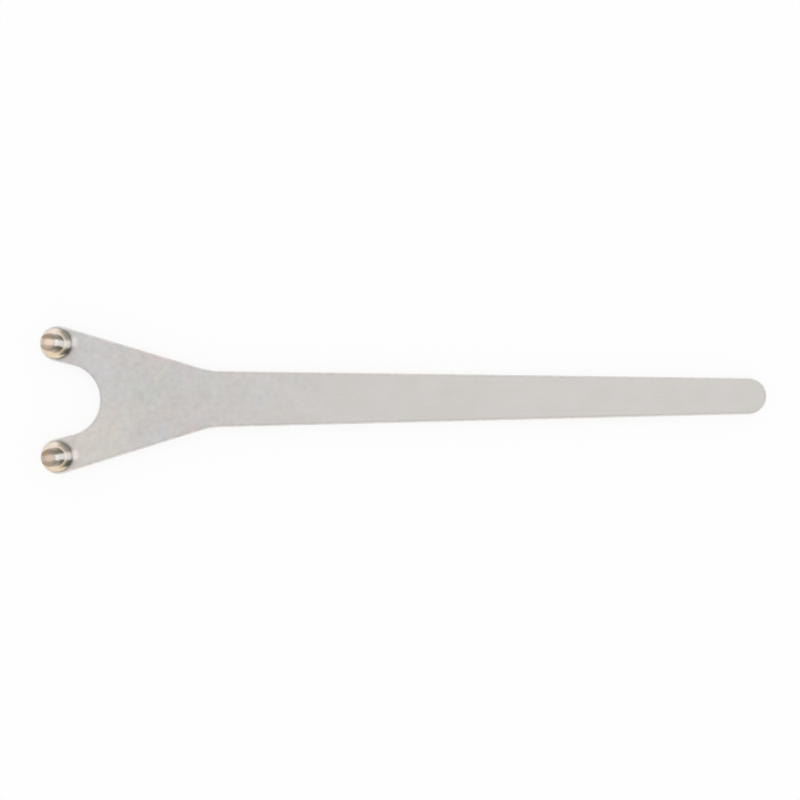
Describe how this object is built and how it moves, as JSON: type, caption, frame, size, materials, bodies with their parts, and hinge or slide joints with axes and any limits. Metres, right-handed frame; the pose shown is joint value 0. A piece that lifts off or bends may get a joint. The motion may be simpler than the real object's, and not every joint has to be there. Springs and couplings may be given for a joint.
{
  "type": "face pin spanner",
  "caption": "Flat forked steel spanner with a tapering handle and riveted shoulder pins that turn a nut by the holes in its face, such as a grinder's flange nut.",
  "frame": {"origin": "middle of the tool's length and width, on its flat back face", "axes": "+X from the fork to the end of the handle, +Y across the fork, +Z from the back face towards the pins' tips"},
  "size_m": [0.1932, 0.0394, 0.012],
  "materials": {
    "plated_steel": "satin zinc plate, pale grey, faintly mottled",
    "turned_steel": "turned and hardened, warm brown temper tint, burnished where it bears"
  },
  "bodies": {
    "root": {"fork_body": "plated_steel", "right_drive_pin": "turned_steel", "left_drive_pin": "turned_steel"}
  },
  "joints": []
}
